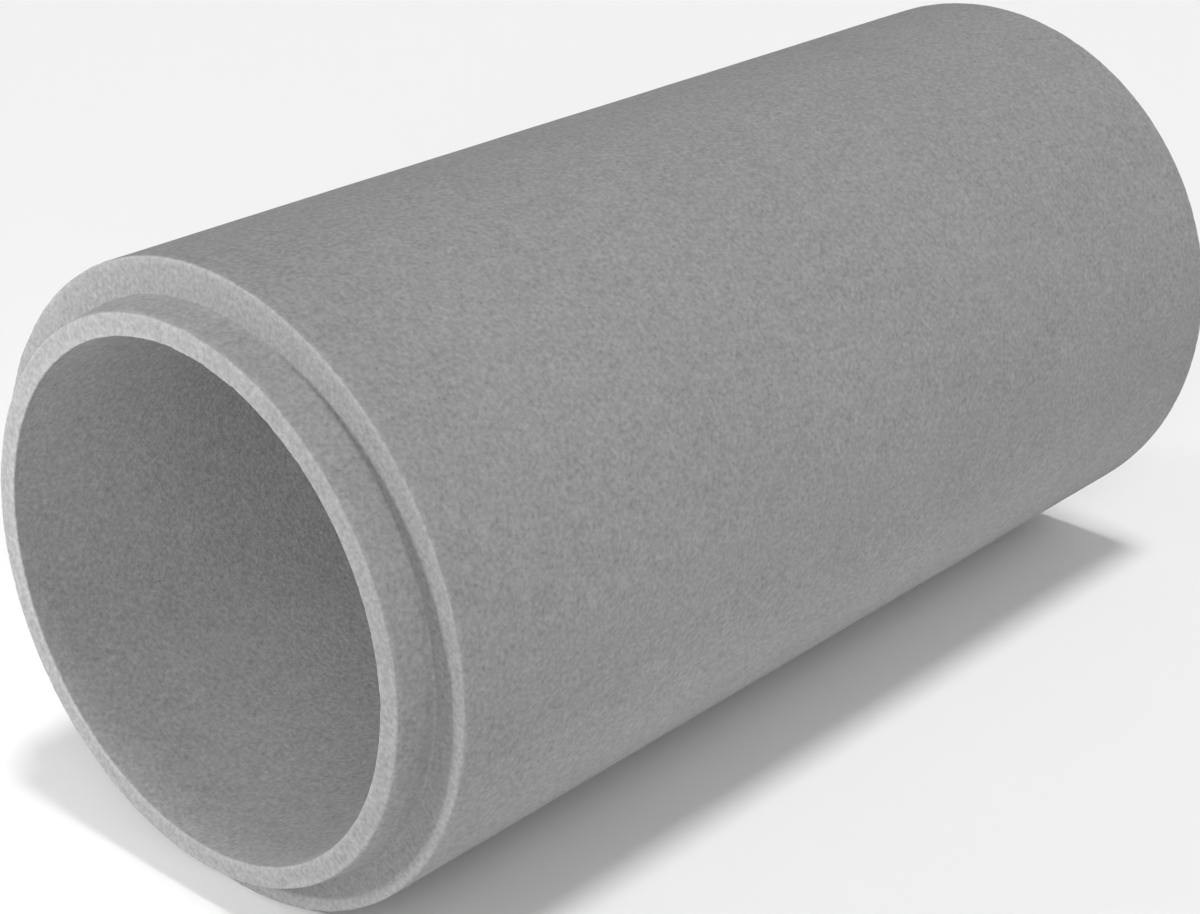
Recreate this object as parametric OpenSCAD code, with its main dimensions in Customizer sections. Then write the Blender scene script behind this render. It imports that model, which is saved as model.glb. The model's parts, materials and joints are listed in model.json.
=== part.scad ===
// Concrete sewer pipe, 600 mm bore, with tongue and groove ends.
// It lies on its side along X, with its tongue towards -X and its groove towards +X.

/* [Barrel] */
// Outside diameter of the barrel
barrel_d = 750; // [720:1:900]
// Inside diameter, the same from end to end
bore_d = 600; // [450:1:620]
// Whole length, from the tongue's end to the rim round the groove
pipe_l = 1500; // [1000:10:2500]

/* [Tongue] */
// How far the tongue stands out of its shoulder
tongue_l = 46; // [30:1:80]
// Outside diameter of the tongue where it meets the shoulder
tongue_root_d = 668; // [660:1:680]
// Outside diameter of the tongue at its end
tongue_tip_d = 654; // [640:1:660]

/* [Joint] */
// Space left all round and past the next pipe's tongue, for the sealant
joint_gap = 4; // [2:0.5:8]

/* [Edges] */
// Width of the small bevel on every outer corner
arris = 3; // [1:0.5:4]

/* [Hidden] */
$fn = 180;
barrel_r = barrel_d / 2;
bore_r = bore_d / 2;
tongue_root_r = tongue_root_d / 2;
tongue_tip_r = tongue_tip_d / 2;
groove_mouth_r = tongue_root_r + joint_gap;
groove_floor_r = tongue_tip_r + joint_gap;
// Stations along the axis, measured from the middle of the pipe
tongue_face = -pipe_l / 2;
shoulder_face = tongue_face + tongue_l;
rim_face = pipe_l / 2;
groove_seat = rim_face - tongue_l - joint_gap;

// Half of the section through the wall, as [radius, station along the axis].
module wall_section() {
    polygon([
        [bore_r, tongue_face + arris],
        [bore_r + arris, tongue_face],
        [tongue_tip_r - arris, tongue_face],
        [tongue_tip_r, tongue_face + arris],
        [tongue_root_r, shoulder_face],
        [barrel_r - arris, shoulder_face],
        [barrel_r, shoulder_face + arris],
        [barrel_r, rim_face - arris],
        [barrel_r - arris, rim_face],
        [groove_mouth_r + arris, rim_face],
        [groove_mouth_r, rim_face - arris],
        [groove_floor_r, groove_seat],
        [bore_r + arris, groove_seat],
        [bore_r, groove_seat - arris]
    ]);
}

// The pipe, cast in one piece, lying on the ground along X.
module pipe() {
    color("darkgray")
        translate([0, 0, barrel_r])
            rotate([0, 90, 0])
                rotate_extrude()
                    wall_section();
}

pipe();
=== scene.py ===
"""A concrete sewer pipe lying on its side, with its tongue end towards the camera."""

import json
import math

import bmesh
import bpy
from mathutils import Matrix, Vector, noise


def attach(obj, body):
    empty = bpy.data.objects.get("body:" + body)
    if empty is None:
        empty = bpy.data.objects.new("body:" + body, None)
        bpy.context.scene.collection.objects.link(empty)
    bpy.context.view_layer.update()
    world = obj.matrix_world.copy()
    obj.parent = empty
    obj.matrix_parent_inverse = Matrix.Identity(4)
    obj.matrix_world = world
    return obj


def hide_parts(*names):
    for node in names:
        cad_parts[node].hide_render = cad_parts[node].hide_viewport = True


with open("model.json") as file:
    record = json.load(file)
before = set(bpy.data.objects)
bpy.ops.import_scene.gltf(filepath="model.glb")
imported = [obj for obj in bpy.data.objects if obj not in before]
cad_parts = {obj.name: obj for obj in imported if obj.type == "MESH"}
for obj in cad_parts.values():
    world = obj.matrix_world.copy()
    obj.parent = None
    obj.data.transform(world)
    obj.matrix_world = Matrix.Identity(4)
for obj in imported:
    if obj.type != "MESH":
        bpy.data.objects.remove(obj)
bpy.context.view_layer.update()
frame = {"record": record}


# --- Camera ------------------------------------------------------------------------------
# A standing person's view of the tongue end, from the right, 1.6 m above the ground. The
# camera looks down a little and isn't rolled, and the pipe just fills its view.

scene = bpy.context.scene
camera_aim = Vector((-0.0849, 0.0, 0.3284))
camera_distance = 3.0958
camera_azimuth = math.radians(-48.155)
camera_elevation = math.radians(24.24)
towards_camera = Vector((
    math.sin(camera_azimuth) * math.cos(camera_elevation),
    -math.cos(camera_azimuth) * math.cos(camera_elevation),
    math.sin(camera_elevation),
))
camera = bpy.data.objects.new("camera", bpy.data.cameras.new("camera"))
camera.data.sensor_width = 36.0
camera.data.lens = 73.8
camera.location = camera_aim + towards_camera * camera_distance
camera.rotation_euler = towards_camera.to_track_quat("Z", "Y").to_euler()
scene.collection.objects.link(camera)
scene.camera = camera


# --- Pipe --------------------------------------------------------------------------------
# The whole product: dense concrete cast in one piece between a steel mould and a core. The
# tongue is formed by a ring at one end, and the groove by the pallet at the other. It is its
# section through the wall, spun round the axis and then worn a little.

mounts = {mount["name"]: mount for mount in frame["record"]["mounts"]}
axis_height = mounts["barrel"]["pos_m"][2]
barrel_r = mounts["barrel"]["dims"]["r_mm"] / 1000
bore_r = mounts["bore"]["dims"]["r_mm"] / 1000
tongue_x = mounts["tongue_face"]["pos_m"][0]
shoulder_x = mounts["shoulder"]["pos_m"][0]
rim_x = mounts["rim"]["pos_m"][0]
seat_x = mounts["groove_seat"]["pos_m"][0]

# The joint's tapers, carried on to the sharp corners that the arrises round off.
tongue_tip_r = 0.3265
tongue_root_r = 0.334
groove_mouth_r = 0.3384
groove_floor_r = 0.331

# The wall's corners as (place along the axis, radius), and which of them are hollow.
corners = [
    (tongue_x, bore_r), (tongue_x, tongue_tip_r),
    (shoulder_x, tongue_root_r), (shoulder_x, barrel_r),
    (rim_x, barrel_r), (rim_x, groove_mouth_r),
    (seat_x, groove_floor_r), (seat_x, bore_r),
]
hollow_corners = (2, 6)
arris = 0.003
fillet = 0.002

# The mesh: how finely a corner is rounded, the rows of faces along the pipe, and the staves
# that make up the whole turn.
corner_parts = 4
edge_row = 0.006
longest_row = 0.06
staves = 16
stave_parts = 45
weld = 0.00001


def long_edges(section, least):
    """The section's edges that are longer than a length."""
    return [edge for edge in section.edges if edge.calc_length() > least]


def section_through_wall():
    """The outline of the wall, cut along the axis, with its corners rounded."""
    section = bmesh.new()
    points = [section.verts.new((x, 0, axis_height + r)) for x, r in corners]
    section.faces.new(points)
    hollow = [points[i] for i in hollow_corners]
    proud = [point for point in points if point not in hollow]
    for group, offset in ((proud, arris), (hollow, fillet)):
        bmesh.ops.bevel(
            section, geom=group, offset=offset, affect="VERTICES",
            segments=corner_parts, profile=0.5, material=-1,
        )
    bmesh.ops.delete(section, geom=section.faces[:], context="FACES_ONLY")
    for edge in long_edges(section, 3 * edge_row):
        start, end = edge.verts
        length = edge.calc_length()
        rest, _ = bmesh.utils.edge_split(edge, start, edge_row / length)
        middle = edge if end in edge.verts else rest
        bmesh.utils.edge_split(middle, end, edge_row / (length - edge_row))
    for edge in long_edges(section, longest_row):
        parts = math.ceil(edge.calc_length() / longest_row)
        bmesh.ops.subdivide_edges(section, edges=[edge], cuts=parts - 1)
    return section


def turned(section):
    """The section spun round the pipe's axis: one stave first, then its copies."""
    stave = 2 * math.pi / staves
    about_axis = {"cent": (0, 0, axis_height), "axis": (1, 0, 0)}
    outline = section.verts[:] + section.edges[:]
    bmesh.ops.spin(section, geom=outline, angle=stave, steps=stave_parts, **about_axis)
    one_stave = section.verts[:] + section.edges[:] + section.faces[:]
    bmesh.ops.spin(
        section, geom=one_stave, angle=stave * (staves - 1), steps=staves - 1,
        use_duplicate=True, **about_axis,
    )
    bmesh.ops.remove_doubles(section, verts=section.verts[:], dist=weld)
    bmesh.ops.recalc_face_normals(section, faces=section.faces[:])
    return section


# Wear, painted highlight and moulding, in metres: how far from an arris the wear and the
# painted highlight reach, the crumbs broken out of it, the longer worn stretches, and the
# mould's slow waves.
wear_and_highlight_reach = 2 * arris
crumb_size, crumb_depth, crumb_rarity = 0.006, 0.0022, 0.1
stretch_size, stretch_depth, stretch_spread = 0.03, 0.0012, 0.1
wave_size, wave_depth = 0.2, 0.00035
wave_softness, wave_step, wave_layers = 0.8, 2.0, 3


def arris_wear_and_highlight(place):
    """How near a place is to an arris, for its wear and its painted highlight: 1 on an arris,
    and nothing 6 mm away from it.
    """
    radius = math.hypot(place.y, place.z - axis_height)
    reach = min(
        math.hypot(place.x - x, radius - r)
        for i, (x, r) in enumerate(corners) if i not in hollow_corners
    )
    return max(0.0, 1 - reach / wear_and_highlight_reach) ** 2


def crumbled(place):
    """How deep an arris has crumbled there, in metres."""
    crumbs = max(0.0, noise.noise(place / crumb_size) - crumb_rarity)
    stretches = max(0.0, noise.noise(place / stretch_size) + stretch_spread)
    return crumb_depth * crumbs + stretch_depth * stretches


def wave(place):
    """How far the mould's slow waves leave the surface under true there, in metres."""
    swell = noise.fractal(place / wave_size, wave_softness, wave_step, wave_layers)
    return wave_depth * (1 + swell)


pipe_form = turned(section_through_wall())
pipe_form.normal_update()
wear_and_highlight_layer = pipe_form.verts.layers.float.new("arris_wear_and_highlight")
for point in pipe_form.verts:
    wear_and_highlight_here = arris_wear_and_highlight(point.co)
    # Kept for the material, which paints a highlight along the arrises with it; the crumbling
    # below is real wear.
    point[wear_and_highlight_layer] = wear_and_highlight_here
    depth = wave(point.co)
    if wear_and_highlight_here > 0:
        depth += wear_and_highlight_here * crumbled(point.co)
    point.co -= point.normal * depth
pipe_mesh = bpy.data.meshes.new("concrete_pipe")
pipe_form.to_mesh(pipe_mesh)
pipe_form.free()
pipe_mesh.shade_smooth()
pipe = bpy.data.objects.new("concrete_pipe", pipe_mesh)
scene.collection.objects.link(pipe)


def linear(colour):
    """An sRGB hex colour as linear red, green, blue and alpha."""
    channels = [int(colour[i:i + 2], 16) / 255 for i in (1, 3, 5)]
    return (*(c / 12.92 if c <= 0.04045 else ((c + 0.055) / 1.055) ** 2.4 for c in channels), 1)


def add_node(material, kind, inputs=None, **settings):
    """Add a node with its settings, and with values or other nodes' sockets as its inputs."""
    tree = material.node_tree
    node = tree.nodes.new(kind)
    for name, value in settings.items():
        setattr(node, name, value)
    for name, value in (inputs or {}).items():
        if isinstance(value, bpy.types.NodeSocket):
            tree.links.new(value, node.inputs[name])
        else:
            node.inputs[name].default_value = value
    return node


def cast_concrete(name, colour, grain, depth):
    """Dense precast concrete as it leaves the form: a closed skin of cement and fine sand,
    quite matt, with slow clouds of lighter and darker paste, sand that just shows as a soft
    speckle, and small pinholes where air was trapped, darkened with painted shade. The arrises
    are painted paler, as a painted highlight along them."""
    material = bpy.data.materials.new(name)
    material.use_nodes = True
    shader = material.node_tree.nodes["Principled BSDF"]
    place = add_node(material, "ShaderNodeTexCoord").outputs["Object"]

    # Clouds a quarter of a metre across, mottling of 22 mm, and sand, each as (size, detail,
    # contrast). Grains of 1 to 2 mm are too fine to show, so the sand is drawn at 5.5 mm.
    layers = (
        (0.25, 2, 0.14),
        (0.022, 2, 0.25 * grain),
        (0.0055, 3, grain),
    )
    tone = 1.0
    for size, detail, contrast in layers:
        blotches = add_node(material, "ShaderNodeTexNoise", {
            "Vector": place, "Scale": 1 / size, "Detail": detail, "Roughness": 0.7,
        }).outputs["Fac"]
        centred = add_node(material, "ShaderNodeMath", {
            0: blotches, 1: 0.5,
        }, operation="SUBTRACT").outputs["Value"]
        tone = add_node(material, "ShaderNodeMath", {
            0: centred, 1: contrast, 2: tone,
        }, operation="MULTIPLY_ADD").outputs["Value"]
    sand = blotches

    # Pinholes are up to 3 mm across, in about half of the 16 mm cells, and are darkened with
    # painted shade. Their depth is in heights of the sand's relief.
    cell_size, pinhole_r = 0.016, 0.0016
    empty_cells, pinhole_shade, pinhole_depth = 0.5, 0.35, 1.5
    cells = add_node(material, "ShaderNodeTexVoronoi", {
        "Vector": place, "Scale": 1 / cell_size, "Randomness": 1.0,
    })
    reach = add_node(material, "ShaderNodeMapRange", {
        "Value": cells.outputs["Color"], "From Min": empty_cells, "From Max": 1.0,
        "To Min": 0.0, "To Max": pinhole_r / cell_size,
    }).outputs["Result"]
    pinholes = add_node(material, "ShaderNodeMath", {
        0: cells.outputs["Distance"], 1: reach,
    }, operation="LESS_THAN").outputs["Value"]
    tone = add_node(material, "ShaderNodeMath", {
        0: pinholes, 1: -pinhole_shade, 2: tone,
    }, operation="MULTIPLY_ADD").outputs["Value"]

    # The arrises are painted paler: a painted highlight along them, not wear.
    painted_highlight_paleness = 0.3
    painted_arris_highlight = add_node(material, "ShaderNodeAttribute", attribute_name="arris_wear_and_highlight").outputs["Fac"]
    tone = add_node(material, "ShaderNodeMath", {
        0: painted_arris_highlight, 1: painted_highlight_paleness, 2: tone,
    }, operation="MULTIPLY_ADD").outputs["Value"]
    skin = add_node(material, "ShaderNodeHueSaturation", {
        "Color": linear(colour), "Value": tone,
    }).outputs["Color"]
    relief = add_node(material, "ShaderNodeMath", {
        0: pinholes, 1: -pinhole_depth, 2: sand,
    }, operation="MULTIPLY_ADD").outputs["Value"]
    surface = add_node(material, "ShaderNodeBump", {
        "Height": relief, "Distance": depth, "Strength": 1.0,
    }).outputs["Normal"]

    material.node_tree.links.new(skin, shader.inputs["Base Color"])
    material.node_tree.links.new(surface, shader.inputs["Normal"])
    shader.inputs["Roughness"].default_value = 0.88
    shader.inputs["IOR"].default_value = 1.5
    return material


pipe_mesh.materials.append(
    cast_concrete("steel_moulded_concrete", "#8d8d8d", grain=1.05, depth=0.0005)
)
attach(pipe, "root")
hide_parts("pipe")


# --- Floor -------------------------------------------------------------------------------
# A pale level floor, quite matt, and much wider than the pipe, so that its edge is far off.

floor_half = 40.0
floor_form = bmesh.new()
bmesh.ops.create_grid(floor_form, x_segments=1, y_segments=1, size=floor_half)
floor_mesh = bpy.data.meshes.new("floor")
floor_form.to_mesh(floor_mesh)
floor_form.free()
floor = bpy.data.objects.new("floor", floor_mesh)
scene.collection.objects.link(floor)
floor_paint = bpy.data.materials.new("white_floor")
floor_paint.use_nodes = True
floor_shader = floor_paint.node_tree.nodes["Principled BSDF"]
floor_shader.inputs["Base Color"].default_value = linear("#f3f3f3")
floor_shader.inputs["Roughness"].default_value = 1.0
floor_shader.inputs["Specular IOR Level"].default_value = 0.0
floor_mesh.materials.append(floor_paint)


# --- Light -------------------------------------------------------------------------------
# A white studio. A small near lamp on the left rakes the tongue end, and two broad parallel
# lights, from in front and overhead, fall evenly on the whole floor. A narrow beam comes up
# the bore from the groove end, and a low reflector lifts the barrel's underside.


def direction(azimuth, elevation):
    """The way to a lamp: azimuth in degrees from -Y towards +X, elevation above the floor."""
    turn, rise = math.radians(azimuth), math.radians(elevation)
    return Vector((
        math.sin(turn) * math.cos(rise), -math.cos(turn) * math.cos(rise), math.sin(rise),
    ))


def add_lamp(name, kind, azimuth, elevation, energy, around=(0, 0, 0), distance=4.0, **shape):
    """Add a lamp that stands off from a point in a direction, and shines at that point."""
    lamp = bpy.data.lights.new(name, kind)
    lamp.energy = energy
    for setting, value in shape.items():
        setattr(lamp, setting, value)
    towards = direction(azimuth, elevation)
    stand = bpy.data.objects.new(name, lamp)
    stand.location = Vector(around) + towards * distance
    stand.rotation_euler = towards.to_track_quat("Z", "Y").to_euler()
    scene.collection.objects.link(stand)
    return stand


tongue_end = (tongue_x, 0, axis_height)
groove_end = (rim_x, 0, axis_height)
beside_pipe = (0.05, -0.5, 0.01)
beam_distance = 3.0
beam_r = 0.285

add_lamp(
    "key_lamp", "AREA", azimuth=-114, elevation=15, energy=12.4,
    around=tongue_end, distance=1.2, shape="DISK", size=0.16,
)
add_lamp(
    "bore_beam", "SPOT", azimuth=90, elevation=0, energy=1500.0,
    around=groove_end, distance=beam_distance,
    spot_size=2 * math.atan(beam_r / beam_distance), spot_blend=0.1, shadow_soft_size=0.02,
)
add_lamp(
    "front_lamp", "SUN", azimuth=-45, elevation=30, energy=1.0, angle=math.radians(35),
)
add_lamp(
    "top_lamp", "SUN", azimuth=0, elevation=80, energy=1.65, angle=math.radians(12),
)
reflector = add_lamp(
    "low_reflector", "AREA", azimuth=0, elevation=-90, energy=0.5,
    around=beside_pipe, distance=0.0, shape="RECTANGLE", size=1.3, size_y=0.15,
)
reflector.visible_camera = False

# The backdrop gives the pipe only a weak fill, and is seen about as pale as the floor.
fill = 0.31
seen_lift = 0.56
world = bpy.data.worlds.new("studio")
scene.world = world
world.use_nodes = True
backdrop = world.node_tree.nodes["Background"]
backdrop.inputs["Color"].default_value = linear("#ffffff")
seen = add_node(world, "ShaderNodeLightPath").outputs["Is Camera Ray"]
strength = add_node(world, "ShaderNodeMath", {
    0: seen, 1: seen_lift, 2: fill,
}, operation="MULTIPLY_ADD").outputs["Value"]
world.node_tree.links.new(strength, backdrop.inputs["Strength"])
scene.view_settings.view_transform = "Standard"
